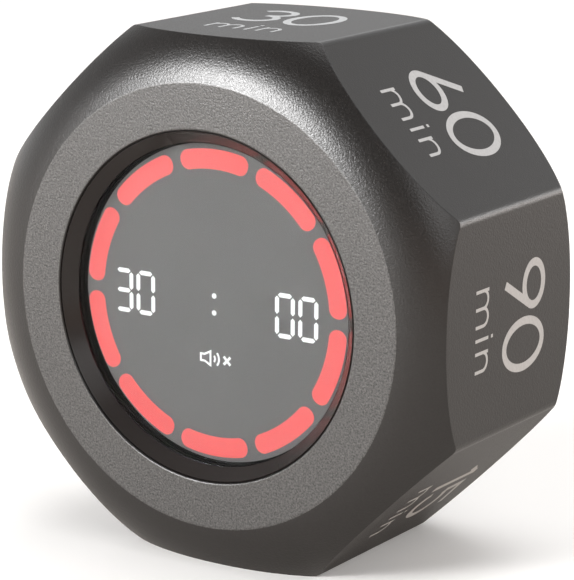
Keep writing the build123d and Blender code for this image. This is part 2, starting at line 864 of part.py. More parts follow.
with BuildPart() as sound_button:
    button_top = cover_back + button_stand
    with BuildSketch(facing_rear(flange_front)):
        with Locations((-control_offset, 0)):
            Circle(button_radius + button_flange)
    extrude(amount=button_flange_thickness)
    with BuildSketch(facing_rear(flange_front)):
        with Locations((-control_offset, 0)):
            Circle(button_radius)
    extrude(amount=button_top - flange_front)
    fillet(sound_button.edges().group_by(Axis.Y)[-1], button_fillet)
    with Locations(facing_rear(button_top + button_dish_radius - button_dish_depth)):
        with Locations((-control_offset, 0)):
            Sphere(button_dish_radius, mode=Mode.SUBTRACT)
finish(sound_button, "sound_button")
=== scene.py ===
from math import acos, asin, atan2, cos, hypot, pi, radians, sin

import bmesh
import bpy
from mathutils import Matrix, Vector


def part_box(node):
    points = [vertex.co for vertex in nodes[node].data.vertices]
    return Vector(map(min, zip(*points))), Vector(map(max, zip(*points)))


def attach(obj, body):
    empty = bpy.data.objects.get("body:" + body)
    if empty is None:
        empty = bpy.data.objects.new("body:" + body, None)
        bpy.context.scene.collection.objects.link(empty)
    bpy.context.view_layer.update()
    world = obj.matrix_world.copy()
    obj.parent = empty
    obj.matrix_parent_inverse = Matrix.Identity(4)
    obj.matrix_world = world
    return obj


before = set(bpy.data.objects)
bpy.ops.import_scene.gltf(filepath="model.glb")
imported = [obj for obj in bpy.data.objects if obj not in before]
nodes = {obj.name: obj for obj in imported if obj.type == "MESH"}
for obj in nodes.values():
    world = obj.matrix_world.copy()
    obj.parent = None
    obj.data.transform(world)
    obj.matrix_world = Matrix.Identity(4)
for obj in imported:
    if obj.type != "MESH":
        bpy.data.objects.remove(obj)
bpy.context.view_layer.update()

# Housing: one eight-sided moulding, round at the front, with a flat ring about the display. ABS, sprayed with
# gun-metal lacquer. The ring keeps the mould's coarse grain and is drawn a lighter grey, partly painted light
# from the front lamp; the flats are matt, and the rounds before and between them are polished to a satin.
# The display is screwed in from behind, and the rear cover closes it.
MM = 0.001
case_low, case_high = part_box("housing")
case_radius = (case_high.x - case_low.x) / 2
axis_height = (case_high.z + case_low.z) / 2
front = case_low.y


def linear(hex_colour):
    """An sRGB hex colour as linear red, green, blue and alpha."""
    levels = [int(hex_colour[i : i + 2], 16) / 255 for i in (1, 3, 5)]
    return [v / 12.92 if v <= 0.04045 else ((v + 0.055) / 1.055) ** 2.4 for v in levels] + [1.0]


def per(size):
    """The texture scale whose pattern is this many millimetres across."""
    return 1 / (size * MM)


def add(tree, kind, inputs, **settings):
    """A node with its settings, and with each input set to a value or linked to another node's output."""
    made = tree.nodes.new(kind)
    for name, value in settings.items():
        setattr(made, name, value)
    for name, value in inputs.items():
        if isinstance(value, bpy.types.NodeSocket):
            tree.links.new(value, made.inputs[name])
        else:
            made.inputs[name].default_value = value
    return made


def finish(name, colour, roughness, **sockets):
    """A material named for the real one, its node tree, its shader and its object coordinates in metres."""
    material = bpy.data.materials.new(name)
    material.use_nodes = True
    tree = material.node_tree
    shader = tree.nodes["Principled BSDF"]
    shader.inputs["Base Color"].default_value = linear(colour)
    shader.inputs["Roughness"].default_value = roughness
    for socket, value in sockets.items():
        shader.inputs[socket.replace("_", " ")].default_value = value
    place = add(tree, "ShaderNodeTexCoord", {}).outputs["Object"]
    return material, tree, shader, place


def dress(material, *names):
    """Give CAD nodes this material."""
    for name in names:
        for slot in nodes[name].material_slots:
            slot.material = material


# Gun-metal lacquer on ABS: near black, with a grain that only shows as sparks where light glances off it, and
# a speckled grey on the flat ring, lighter than the rest: partly the ring's coarser grain, partly painted
# light from the front lamp. The grain is drawn at 0.24 mm, about twice the real grit, to show.
LACQUER_GRAIN = 0.24
LACQUER_GRAIN_DEPTH = 0.035
RING_DEPTH = 0.03
FLATS = 8
FLAT_DULLNESS = 0.13
EDGE_ROUND = 0.2
lacquer, tree, shader, place = finish("gun_metal_lacquer_on_abs", "#1c1a19", 0.36)
where = add(tree, "ShaderNodeSeparateXYZ", {"Vector": place})
ring = add(tree, "ShaderNodeMath", {0: where.outputs["Y"], 1: front + RING_DEPTH * MM}, operation="LESS_THAN")
grit = add(tree, "ShaderNodeTexNoise", {
    "Vector": place, "Scale": per(LACQUER_GRAIN), "Detail": 2.0, "Roughness": 0.6})
speck = add(tree, "ShaderNodeMapRange", {"Value": grit.outputs["Fac"], "From Min": 0.32, "From Max": 0.68})
satin = add(tree, "ShaderNodeMixRGB", {
    "Fac": speck.outputs["Result"], "Color1": linear("#191716"), "Color2": linear("#1f1d1c")})
# The flat ring's lighter speckled grey: its coarser grain, with painted light from the front lamp on top.
ring_grain_and_painted_light = add(tree, "ShaderNodeMixRGB", {
    "Fac": speck.outputs["Result"], "Color1": linear("#282727"), "Color2": linear("#555453")})
tone = add(tree, "ShaderNodeMixRGB", {
    "Fac": ring.outputs[0], "Color1": satin.outputs["Color"], "Color2": ring_grain_and_painted_light.outputs["Color"]})
# A flat is a face that looks square outward: along none of the depth, and along one of the eight bearings.
facet = add(tree, "ShaderNodeNewGeometry", {})
way = add(tree, "ShaderNodeSeparateXYZ", {"Vector": facet.outputs["True Normal"]})
turned = add(tree, "ShaderNodeMath", {0: way.outputs["Y"]}, operation="ABSOLUTE")
side = add(tree, "ShaderNodeMath", {0: turned.outputs[0], 1: 0.02}, operation="LESS_THAN")
bearing = add(tree, "ShaderNodeMath", {0: way.outputs["Z"], 1: way.outputs["X"]}, operation="ARCTAN2")
eighths = add(tree, "ShaderNodeMath", {0: bearing.outputs[0], 1: FLATS}, operation="MULTIPLY")
square = add(tree, "ShaderNodeMath", {0: eighths.outputs[0]}, operation="COSINE")
flat = add(tree, "ShaderNodeMath", {0: square.outputs[0], 1: 0.99}, operation="GREATER_THAN")
matt = add(tree, "ShaderNodeMath", {0: side.outputs[0], 1: flat.outputs[0]}, operation="MULTIPLY")
satin_sheen = add(tree, "ShaderNodeMapRange", {
    "Value": speck.outputs["Result"], "To Min": 0.28, "To Max": 0.34})
shine = add(tree, "ShaderNodeMath", {
    0: matt.outputs[0], 1: FLAT_DULLNESS, 2: satin_sheen.outputs["Result"]}, operation="MULTIPLY_ADD")
edge = add(tree, "ShaderNodeBevel", {"Radius": EDGE_ROUND * MM}, samples=6)
relief = add(tree, "ShaderNodeBump", {
    "Height": grit.outputs["Fac"], "Distance": LACQUER_GRAIN_DEPTH * MM, "Strength": 1.0,
    "Normal": edge.outputs["Normal"]})
tree.links.new(tone.outputs["Color"], shader.inputs["Base Color"])
tree.links.new(shine.outputs[0], shader.inputs["Roughness"])
tree.links.new(relief.outputs["Normal"], shader.inputs["Normal"])
dress(lacquer, "housing")

# Printed minutes: a number with its unit below it on seven of the eight flats. The flat that the case stands
# on when it is off is bare. Thin light-grey ink, pad-printed, which stands a hundredth of a millimetre proud
# of the lacquer and sits a little off centre on some of the flats.
INK_RISE = 0.01
INK_SINK = 0.04
NUMBER_HEIGHT = 10.2
NUMBER_STROKE = 1.0
NUMBER_BASE = 15.4
NUMBER_GAP = 0.6
ZERO_WIDTH = 6.65
BOWL_WIDTH = 6.2
ONE_WIDTH, ONE_FLAG_DROP = 2.6, 1.9
THREE_WAIST, THREE_LEAN = 4.75, 0.2
FOUR_ARM_RISE, FOUR_ARM_REACH = 3.0, 1.9
FIVE_BOWL, FIVE_BAR_LEFT, FIVE_BAR_SHORT = 3.0, 1.3, 0.4
SIX_BOWL, SIX_TIP = 2.3, 0.95
UNIT_STROKE = 0.4
UNIT_HEIGHT = 3.0
UNIT_BASE = 9.0
UNIT_SHOULDER = 0.62
M_LEFT, M_PITCH = -5.0, 2.1
I_MIDDLE, I_DOT_BASE, I_DOT_HEIGHT = 0.8, 3.65, 1.1 * UNIT_STROKE
N_LEFT, N_PITCH = 2.4, 2.2
ARC_STEP = 6


def arc(centre, radii, start, end):
    """Points along an arc of an upright ellipse, from one angle to another in degrees."""
    steps = max(2, round(abs(end - start) / ARC_STEP))
    turns = [radians(start + (end - start) * i / steps) for i in range(steps + 1)]
    return [Vector((centre[0] + radii[0] * cos(a), centre[1] + radii[1] * sin(a))) for a in turns]


def stroke(path, width, closed=False):
    """The two edges of a stroke of that width along a path, mitred where the path turns."""
    count = len(path)
    edges = []
    for i, point in enumerate(path):
        before = path[i - 1] if i or closed else None
        after = path[(i + 1) % count] if i < count - 1 or closed else None
        sides = [
            Vector((a.y - b.y, b.x - a.x)).normalized()
            for a, b in ((before, point), (point, after))
            if a is not None and b is not None
        ]
        across = sum(sides, Vector((0, 0))).normalized()
        reach = width / 2 / across.dot(sides[0])
        edges.append((point + across * reach, point - across * reach))
    return edges


def raise_stroke(name, edges, closed, low, high):
    """A closed flat-topped mesh between the two edges of a stroke."""
    shape = bmesh.new()
    rings = [
        [shape.verts.new((*p, h)) for p, h in ((left, low), (right, low), (right, high), (left, high))]
        for left, right in edges
    ]
    spans = list(zip(rings, rings[1:] + rings[:1] if closed else rings[1:]))
    for here, there in spans:
        for k in range(4):
            shape.faces.new((here[k], here[k - 1], there[k - 1], there[k]))
    if not closed:
        shape.faces.new(rings[0])
        shape.faces.new(reversed(rings[-1]))
    bmesh.ops.recalc_face_normals(shape, faces=shape.faces)
    mesh = bpy.data.meshes.new(name)
    shape.to_mesh(mesh)
    shape.free()
    return bpy.data.objects.new(name, mesh)


def draw(name, strokes, low, high, place):
    """One piece of strokes, each a path, a width and whether it closes, fused where they cross, in place."""
    blanks = bpy.data.collections.new(name)
    bpy.context.scene.collection.children.link(blanks)
    raised = [raise_stroke(name, stroke(*s), len(s) > 2 and s[2], low, high) for s in strokes]
    for piece in raised[1:]:
        blanks.objects.link(piece)
    bpy.context.scene.collection.objects.link(raised[0])
    if len(raised) > 1:
        joint = raised[0].modifiers.new("fuse", "BOOLEAN")
        joint.operation = "UNION"
        joint.operand_type = "COLLECTION"
        joint.collection = blanks
        joint.solver = "EXACT"
    seen = raised[0].evaluated_get(bpy.context.evaluated_depsgraph_get())
    mesh = bpy.data.meshes.new_from_object(seen)
    for piece in raised:
        bpy.data.objects.remove(piece)
    bpy.data.collections.remove(blanks)
    mesh.transform(place)
    mesh.materials.clear()
    whole = bpy.data.objects.new(name, mesh)
    bpy.context.scene.collection.objects.link(whole)
    return whole


def numeral(figure, left):
    """The strokes of one figure whose left side is at left, and the figure's width."""
    half = NUMBER_STROKE / 2
    top, foot = NUMBER_HEIGHT - half, half
    width = ZERO_WIDTH if figure == "0" else BOWL_WIDTH
    middle = left + width / 2
    side = width / 2 - half
    if figure == "0":
        centre = (middle, NUMBER_HEIGHT / 2)
        return [(arc(centre, (side, top - centre[1]), 0, 360)[:-1], NUMBER_STROKE, True)], width
    if figure in "69":
        bowl = (side, SIX_BOWL)
        tip = (SIX_TIP, top - foot - bowl[1])
        turn = atan2(tip[1] / bowl[1], tip[0] / bowl[0]) + acos(1 / hypot(tip[0] / bowl[0], tip[1] / bowl[1]))
        leaves = (bowl[0] * cos(turn), bowl[1] * sin(turn))
        flip = 1 if figure == "6" else -1
        base = foot + bowl[1] if figure == "6" else top - bowl[1]
        stem = [Vector((middle + flip * p[0], base + flip * p[1])) for p in (leaves, tip)]
        ring = arc((middle, base), bowl, 0, 360)[:-1]
        return [(ring, NUMBER_STROKE, True), (stem, NUMBER_STROKE)], width
    if figure == "3":
        waist = foot + THREE_WAIST
        spine = middle - THREE_LEAN
        upper = arc((spine, (top + waist) / 2), (side - THREE_LEAN, (top - waist) / 2), 150, -90)
        lower = arc((spine, (waist + foot) / 2), (side, (waist - foot) / 2), 90, -150)
        return [(upper, NUMBER_STROKE), (lower, NUMBER_STROKE)], width
    if figure == "1":
        edge = left + ONE_WIDTH - half
        stem = [Vector((edge, 0)), Vector((edge, NUMBER_HEIGHT))]
        flag = [Vector((edge, top)), Vector((left + half, top - ONE_FLAG_DROP))]
        return [(stem, NUMBER_STROKE), (flag, NUMBER_STROKE)], ONE_WIDTH
    if figure == "4":
        edge = left + width - FOUR_ARM_REACH
        stem = [Vector((edge, 0)), Vector((edge, NUMBER_HEIGHT))]
        arm_ends = [(edge, top), (left + half, FOUR_ARM_RISE), (left + width, FOUR_ARM_RISE)]
        arm = [Vector(p) for p in arm_ends]
        return [(stem, NUMBER_STROKE), (arm, NUMBER_STROKE)], width
    bowl = (side, FIVE_BOWL)
    curve = arc((middle, foot + bowl[1]), bowl, 130, -150)
    back = [Vector((left + width - FIVE_BAR_SHORT, top)), Vector((left + FIVE_BAR_LEFT, top)), curve[0]]
    return [(back, NUMBER_STROKE), (curve, NUMBER_STROKE)], width


def number(figures):
    """The strokes of a number centred on its flat."""
    strokes, right = [], 0
    for figure in figures:
        drawn, width = numeral(figure, right)
        strokes += drawn
        right += width + NUMBER_GAP
    shift = Vector(((NUMBER_GAP - right) / 2, NUMBER_BASE))
    return [([p + shift for p in path], *rest) for path, *rest in strokes]


def unit():
    """The strokes of the unit, min, below a number."""
    crown = UNIT_HEIGHT - UNIT_STROKE / 2
    spring = UNIT_SHOULDER * crown
    strokes = []
    for first, pitch, legs in ((M_LEFT, M_PITCH, 2), (N_LEFT, N_PITCH, 1)):
        strokes.append([Vector((first, 0)), Vector((first, UNIT_HEIGHT))])
        for leg in range(legs):
            middle = first + pitch * (leg + 0.5)
            over = arc((middle, spring), (pitch / 2, crown - spring), 180, 0)
            strokes.append(over + [Vector((middle + pitch / 2, 0))])
    strokes.append([Vector((I_MIDDLE, 0)), Vector((I_MIDDLE, UNIT_HEIGHT))])
    strokes.append([Vector((I_MIDDLE, I_DOT_BASE)), Vector((I_MIDDLE, I_DOT_BASE + I_DOT_HEIGHT))])
    shift = Vector((0, UNIT_BASE))
    return [([p + shift for p in path], UNIT_STROKE) for path in strokes]


# Pad-print ink: a matt, slightly chalky light grey, a little uneven where the pad lifted off the grain.
ink, tree, shader, place = finish("light_grey_pad_print_ink", "#bbbcbd", 0.6)
thin = add(tree, "ShaderNodeTexNoise", {"Vector": place, "Scale": per(0.35), "Detail": 2.0})
cover = add(tree, "ShaderNodeMixRGB", {
    "Fac": thin.outputs["Fac"], "Color1": linear("#afb0b1"), "Color2": linear("#c7c8c9")})
skin = add(tree, "ShaderNodeBump", {"Height": thin.outputs["Fac"], "Distance": 0.006 * MM, "Strength": 1.0})
tree.links.new(cover.outputs["Color"], shader.inputs["Base Color"])
tree.links.new(skin.outputs["Normal"], shader.inputs["Normal"])

minutes_by_angle = {90: "30", 45: "60", 0: "90", -45: "15", -135: "5", 180: "10", 135: "45"}
off_centre = {90: -0.8, 45: -0.35, 0: 0.45, -45: 1.8}
for angle, minutes in minutes_by_angle.items():
    turn = radians(angle)
    out = Vector((cos(turn), 0, sin(turn)))
    along = Vector((sin(turn), 0, -cos(turn)))
    start = Vector((0, front, axis_height)) + out * case_radius + along * off_centre.get(angle, 0) * MM
    onto = Matrix((along * MM, Vector((0, MM, 0)), out * MM)).transposed().to_4x4()
    onto.translation = start
    printed = draw(f"printed_{minutes}_min", number(minutes) + unit(), -INK_SINK, INK_RISE, onto)
    printed.data.materials.append(ink)
    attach(printed, "case")

# Display bezel: a funnel-shaped ring that leads from the front ring down to the lens.
# ABS, moulded in a polished tool, clamped against the front wall by the display stack behind it.
# Gloss black ABS: a deep charcoal, with soft reflections of the lit ring and faint hair marks.
gloss, tree, shader, place = finish("gloss_black_abs", "#272423", 0.22, Specular_IOR_Level=0.25)
marks = add(tree, "ShaderNodeTexNoise", {"Vector": place, "Scale": per(0.9), "Detail": 4.0})
blur = add(tree, "ShaderNodeMapRange", {
    "Value": marks.outputs["Fac"], "From Min": 0.3, "From Max": 0.7, "To Min": 0.19, "To Max": 0.25})
tree.links.new(blur.outputs["Result"], shader.inputs["Roughness"])
dress(gloss, "display_bezel")

# Display lens: a stepped clear disc dropped into the bezel from behind, its cut edge blacked with paint.
# Cast acrylic, polished, with a coating against reflections.
# Coated acrylic: it shows what is behind it with hardly a veil of the room, and has the faintest wipe marks.
acrylic, tree, shader, place = finish(
    "coated_clear_acrylic", "#f4f6f6", 0.02, IOR=1.49, Specular_Tint=linear("#383a40"))
wipes = add(tree, "ShaderNodeTexNoise", {"Vector": place, "Scale": per(6.0), "Detail": 3.0})
haze = add(tree, "ShaderNodeMapRange", {"Value": wipes.outputs["Fac"], "To Min": 0.0, "To Max": 0.03})
way = add(tree, "ShaderNodeNewGeometry", {})
slope = add(tree, "ShaderNodeSeparateXYZ", {"Vector": way.outputs["True Normal"]})
flatness = add(tree, "ShaderNodeMath", {0: slope.outputs["Y"]}, operation="ABSOLUTE")
face = add(tree, "ShaderNodeMath", {0: flatness.outputs[0], 1: 0.5}, operation="GREATER_THAN")
edge_paint = add(tree, "ShaderNodeMixRGB", {
    "Fac": face.outputs[0], "Color1": linear("#060606"), "Color2": linear("#f4f6f6")})
tree.links.new(edge_paint.outputs["Color"], shader.inputs["Base Color"])
tree.links.new(face.outputs[0], shader.inputs["Transmission Weight"])
tree.links.new(haze.outputs["Result"], shader.inputs["Roughness"])
dress(acrylic, "display_lens")

# Lens gasket: a die-cut ring of thin foam tape that glues the lens to the film.
# Black acrylic foam: matt, dark and full of small cells.
foam, tree, shader, place = finish("black_acrylic_foam", "#121212", 0.85)
cells = add(tree, "ShaderNodeTexVoronoi", {"Vector": place, "Scale": per(0.25)})
pits = add(tree, "ShaderNodeBump", {
    "Height": cells.outputs["Distance"], "Distance": 0.05 * MM, "Strength": 0.6})
tree.links.new(pits.outputs["Normal"], shader.inputs["Normal"])
dress(foam, "lens_gasket")

# Display film: a dead-front sheet behind the lens, which hides the figures that aren't lit.
# Polycarbonate, screen-printed with a translucent grey ink and with a black border that hides the gasket.
# Printed film: an even mid grey, very slightly mottled, with a matt skin. The black border is set off centre,
# so that it is wider on the left and a little at the bottom, where it is painted shade of the recess's wall.
FILM_WINDOW_RADIUS = 19.55
PAINTED_SHADE_SHIFT_RIGHT, PAINTED_SHADE_SHIFT_UP = 0.45, 0.15
film, tree, shader, place = finish(
    "grey_printed_polycarbonate_film", "#7c7b7b", 0.55, Specular_IOR_Level=0.15)
mottle = add(tree, "ShaderNodeTexNoise", {"Vector": place, "Scale": per(4.0), "Detail": 2.0})
tint = add(tree, "ShaderNodeMixRGB", {
    "Fac": mottle.outputs["Fac"], "Color1": linear("#7a7979"), "Color2": linear("#7e7d7d")})
# The window's centre is shifted right and up, so that the black border paints shade along its left and
# bottom.
window = (-PAINTED_SHADE_SHIFT_RIGHT * MM, 0, -axis_height - PAINTED_SHADE_SHIFT_UP * MM)
off_axis = add(tree, "ShaderNodeVectorMath", {0: place, 1: (1, 0, 1), 2: window}, operation="MULTIPLY_ADD")
radius = add(tree, "ShaderNodeVectorMath", {0: off_axis.outputs["Vector"]}, operation="LENGTH")
border_and_painted_shade = add(tree, "ShaderNodeMath", {
    0: radius.outputs["Value"], 1: FILM_WINDOW_RADIUS * MM}, operation="GREATER_THAN")
film_with_border_and_painted_shade = add(tree, "ShaderNodeMixRGB", {
    "Fac": border_and_painted_shade.outputs[0], "Color1": tint.outputs["Color"], "Color2": linear("#060606")})
tree.links.new(film_with_border_and_painted_shade.outputs["Color"], shader.inputs["Base Color"])
dress(film, "display_film")

# Lit ring: the light of the red lamps as it comes through the film, ten arcs with round ends.
# Each arc is a thin sheet in the gap between the film and the lens.
film_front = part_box("display_film")[0].y
lens_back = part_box("display_lens")[1].y
LIT_THICKNESS = 0.03
LIT_STAND = 0.2
lit_low = (film_front - lens_back) / MM * LIT_STAND
facing = Matrix(((MM, 0, 0), (0, 0, -MM), (0, MM, 0))).to_4x4()
facing.translation = Vector((0, film_front, axis_height))
RING_COUNT = 10
RING_GAP = 1.3
RING_WIDTH = 2.45
RING_CORNER = 1.15
CORNER_STEPS, RIM_STEPS = 8, 16
ring_low, ring_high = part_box("ring_light_guides")
ring_outer = (ring_high.x - ring_low.x) / 2 / MM
ring_inner = ring_outer - RING_WIDTH


def flat_piece(name, outlines, low, high, place):
    """One piece of flat closed sheets, each from its outline, put in place."""
    shape = bmesh.new()
    for outline in outlines:
        base = [shape.verts.new((*p, low)) for p in outline]
        top = [shape.verts.new((*p, high)) for p in outline]
        shape.faces.new(top)
        shape.faces.new(reversed(base))
        for i in range(len(outline)):
            shape.faces.new((base[i - 1], base[i], top[i], top[i - 1]))
    bmesh.ops.recalc_face_normals(shape, faces=shape.faces)
    mesh = bpy.data.meshes.new(name)
    shape.to_mesh(mesh)
    shape.free()
    mesh.transform(place)
    whole = bpy.data.objects.new(name, mesh)
    bpy.context.scene.collection.objects.link(whole)
    return whole


def ring_segment(index):
    """The outline of one arc of the ring, with round corners and a straight-sided gap to its neighbours."""
    first = radians(360 / RING_COUNT * index)
    last = radians(360 / RING_COUNT * (index + 1))
    outline = []
    sides = ((ring_outer - RING_CORNER, (first, last)), (ring_inner + RING_CORNER, (last, first)))
    for radius, ends in sides:
        inset = asin((RING_GAP / 2 + RING_CORNER) / radius)
        for end in ends:
            at_start = end == first
            turn = end + inset if at_start else end - inset
            centre = (radius * cos(turn), radius * sin(turn))
            outer = radius > (ring_outer + ring_inner) / 2
            square = end - pi / 2 if at_start else end + pi / 2
            radial = turn if outer else turn + pi
            pair = (square, radial) if outer == at_start else (radial, square)
            sweep = (pair[1] - pair[0] + pi) % (2 * pi) - pi
            for step in range(CORNER_STEPS + 1):
                a = pair[0] + sweep * step / CORNER_STEPS
                outline.append((centre[0] + RING_CORNER * cos(a), centre[1] + RING_CORNER * sin(a)))
            if end == ends[0]:
                rim = ring_outer if outer else ring_inner
                stop = last - inset if outer else first + inset
                turns = [turn + (stop - turn) * i / RIM_STEPS for i in range(1, RIM_STEPS)]
                outline += [(rim * cos(a), rim * sin(a)) for a in turns]
    return outline


# Red lamp light on the film: the film's own grey with an even red added, which makes a coral.
red_light, tree, shader, place = finish("red_light_through_film", "#727171", 0.55, Emission_Strength=0.9)
soft = add(tree, "ShaderNodeTexNoise", {"Vector": place, "Scale": per(5.0), "Detail": 1.0})
glow = add(tree, "ShaderNodeMixRGB", {
    "Fac": soft.outputs["Fac"], "Color1": linear("#f80808"), "Color2": linear("#ff1010")})
tree.links.new(glow.outputs["Color"], shader.inputs["Emission Color"])
segments = [ring_segment(i) for i in range(RING_COUNT)]
lit_ring = flat_piece("lit_ring", segments, lit_low, lit_low + LIT_THICKNESS, facing)
lit_ring.data.materials.append(red_light)
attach(lit_ring, "case")

# Lit digits: the light of the white lamps through the film, four seven-bar digits and a colon.
# They are a thin sheet like the ring.
DIGIT_HEIGHT = 5.5
DIGIT_WIDTH = 2.8
DIGIT_STROKE = 0.56
DIGIT_PITCH = 3.3
BAR_GAP = 0.13
COLON_RISE = 1.05
COLON_RADIUS = 0.33
digits_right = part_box("digit_light_guides")[1].x / MM
outer_digit = digits_right - DIGIT_WIDTH / 2
lit_bars = {"3": "abgcd", "0": "abcdef"}


def digit_bars(figure, middle):
    """The outlines of the lit bars of one seven-bar digit, pointed at their ends."""
    side = (DIGIT_WIDTH - DIGIT_STROKE) / 2
    level = (DIGIT_HEIGHT - DIGIT_STROKE) / 2
    half = DIGIT_STROKE / 2
    bars = {
        "a": ((-side, level), (side, level)),
        "b": ((side, level), (side, 0)),
        "c": ((side, 0), (side, -level)),
        "d": ((-side, -level), (side, -level)),
        "e": ((-side, 0), (-side, -level)),
        "f": ((-side, level), (-side, 0)),
        "g": ((-side, 0), (side, 0)),
    }
    outlines = []
    for name in lit_bars[figure]:
        start, end = (Vector(p) for p in bars[name])
        way = (end - start).normalized()
        across = Vector((-way.y, way.x)) * half
        start += way * BAR_GAP + Vector((middle, 0))
        end += Vector((middle, 0)) - way * BAR_GAP
        shoulder = way * half
        outlines.append((
            start, start + shoulder - across, end - shoulder - across,
            end, end - shoulder + across, start + shoulder + across))
    return outlines


# White lamp light on the film: a clean white, even across each bar.
white_light, tree, shader, place = finish("white_light_through_film", "#6c6b6a", 0.55, Emission_Strength=1.1)
even = add(tree, "ShaderNodeTexNoise", {"Vector": place, "Scale": per(2.0), "Detail": 1.0})
pale = add(tree, "ShaderNodeMixRGB", {
    "Fac": even.outputs["Fac"], "Color1": linear("#f4f4f4"), "Color2": linear("#ffffff")})
tree.links.new(pale.outputs["Color"], shader.inputs["Emission Color"])
shown = zip("3000", (-outer_digit, DIGIT_PITCH - outer_digit, outer_digit - DIGIT_PITCH, outer_digit))
bars = [outline for figure, middle in shown for outline in digit_bars(figure, middle)]
dots = [arc((0, z), (COLON_RADIUS, COLON_RADIUS), 0, 345) for z in (COLON_RISE, -COLON_RISE)]
lit_digits = flat_piece("lit_digits", bars + dots, lit_low, lit_low + LIT_THICKNESS, facing)
lit_digits.data.materials.append(white_light)
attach(lit_digits, "case")

# Lit symbol: the light of one white lamp through the film, a small loudspeaker with a cross, for sound off.
# It is a thin sheet like the digits.
SYMBOL_DROP = 6.75
SYMBOL_STROKE = 0.26
HORN = ((-1.97, -0.42), (-1.97, 0.42), (-1.42, 0.42), (-0.55, 0.86), (-0.55, -0.86), (-1.42, -0.42))
WAVE_CENTRE = (-0.45, 0)
WAVE_RADII = (0.57, 1.15)
WAVE_ANGLE = 42
CROSS = ((1.4, 0.5), (2.36, -0.5))
CROSS_STROKE = SYMBOL_STROKE * 1.3


def loudspeaker(middle):
    """The strokes of a small loudspeaker with two sound waves."""
    at = Vector(middle)
    strokes = [([at + Vector(p) for p in HORN], SYMBOL_STROKE, True)]
    for radius in WAVE_RADII:
        wave = arc(at + Vector(WAVE_CENTRE), (radius, radius), -WAVE_ANGLE, WAVE_ANGLE)
        strokes.append((wave, SYMBOL_STROKE))
    return strokes


below = Vector((0, -SYMBOL_DROP))
cross = [
    ([below + Vector((CROSS[0][0], rise)), below + Vector((CROSS[1][0], -rise))], CROSS_STROKE)
    for rise in (CROSS[0][1], CROSS[1][1])
]
lit_symbol = draw("lit_symbol", loudspeaker(below) + cross, lit_low, lit_low + LIT_THICKNESS, facing)
lit_symbol.data.materials.append(white_light)
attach(lit_symbol, "case")

# Light guides: short moulded posts, one behind each figure, that carry a lamp's light to the film.
# Acrylic, milky for the digits and tinted red for the ring, pushed into the baffle.
# Milky acrylic: white and translucent, with faint flow clouds.
milky, tree, shader, place = finish(
    "milky_acrylic", "#eeeeea", 0.3, IOR=1.49, Transmission_Weight=0.35, Subsurface_Weight=0.3,
    Subsurface_Scale=1.0 * MM)
flow = add(tree, "ShaderNodeTexNoise", {"Vector": place, "Scale": per(2.5), "Detail": 2.0})
clouds = add(tree, "ShaderNodeMixRGB", {
    "Fac": flow.outputs["Fac"], "Color1": linear("#e6e6e2"), "Color2": linear("#f4f4f1")})
tree.links.new(clouds.outputs["Color"], shader.inputs["Base Color"])
dress(milky, "digit_light_guides")

# Red acrylic: a deep clear red, clouded a little where it flowed in the mould.
ruby, tree, shader, place = finish("red_acrylic", "#d42a2a", 0.2, IOR=1.49, Transmission_Weight=0.6)
flow = add(tree, "ShaderNodeTexNoise", {"Vector": place, "Scale": per(2.5), "Detail": 2.0})
clouds = add(tree, "ShaderNodeMixRGB", {
    "Fac": flow.outputs["Fac"], "Color1": linear("#c82222"), "Color2": linear("#de3434")})
tree.links.new(clouds.outputs["Color"], shader.inputs["Base Color"])
dress(ruby, "ring_light_guides")

# Light baffle: the block that keeps each figure's light apart, with a pocket for every guide.
# White ABS, so that little light is lost in the pockets. The display screws pull it against the bezel.
# White moulded ABS: matt white with the fine grain of the tool and a slight cream cast.
white_abs, tree, shader, place = finish("white_moulded_abs", "#e4e3dd", 0.5)
tool = add(tree, "ShaderNodeTexNoise", {"Vector": place, "Scale": per(0.2), "Detail": 2.0})
cast = add(tree, "ShaderNodeMixRGB", {
    "Fac": tool.outputs["Fac"], "Color1": linear("#dfded7"), "Color2": linear("#e9e8e3")})
tooth = add(tree, "ShaderNodeBump", {"Height": tool.outputs["Fac"], "Distance": 0.01 * MM, "Strength": 1.0})
tree.links.new(cast.outputs["Color"], shader.inputs["Base Color"])
tree.links.new(tooth.outputs["Normal"], shader.inputs["Normal"])
dress(white_abs, "light_baffle")

# Circuit boards: the lamp board behind the baffle and the main board on the rear cover's posts.
# Glass-fibre epoxy with etched copper under a green lacquer that masks the solder.
# Solder mask: a glossy dark green, lighter in raised lines where copper runs under it.
TRACK_LENGTH, TRACK_PITCH, TRACK_WIDTH = 6.0, 1.2, 0.3
mask, tree, shader, place = finish("green_solder_mask_on_glass_epoxy", "#12452a", 0.32)
across = add(tree, "ShaderNodeSeparateXYZ", {"Vector": place})
board_plane = add(tree, "ShaderNodeCombineXYZ", {"X": across.outputs["X"], "Y": across.outputs["Z"]})
tracks = add(tree, "ShaderNodeTexBrick", {
    "Vector": board_plane.outputs["Vector"], "Scale": 1.0, "Mortar Size": TRACK_WIDTH / 2 * MM,
    "Brick Width": TRACK_LENGTH * MM, "Row Height": TRACK_PITCH * MM, "Color1": linear("#12452a"),
    "Color2": linear("#0f3f26"), "Mortar": linear("#1f6a3f")})
copper = add(tree, "ShaderNodeBump", {
    "Height": tracks.outputs["Fac"], "Distance": 0.03 * MM, "Strength": 1.0})
tree.links.new(tracks.outputs["Color"], shader.inputs["Base Color"])
tree.links.new(copper.outputs["Normal"], shader.inputs["Normal"])
dress(mask, "led_board", "main_board")

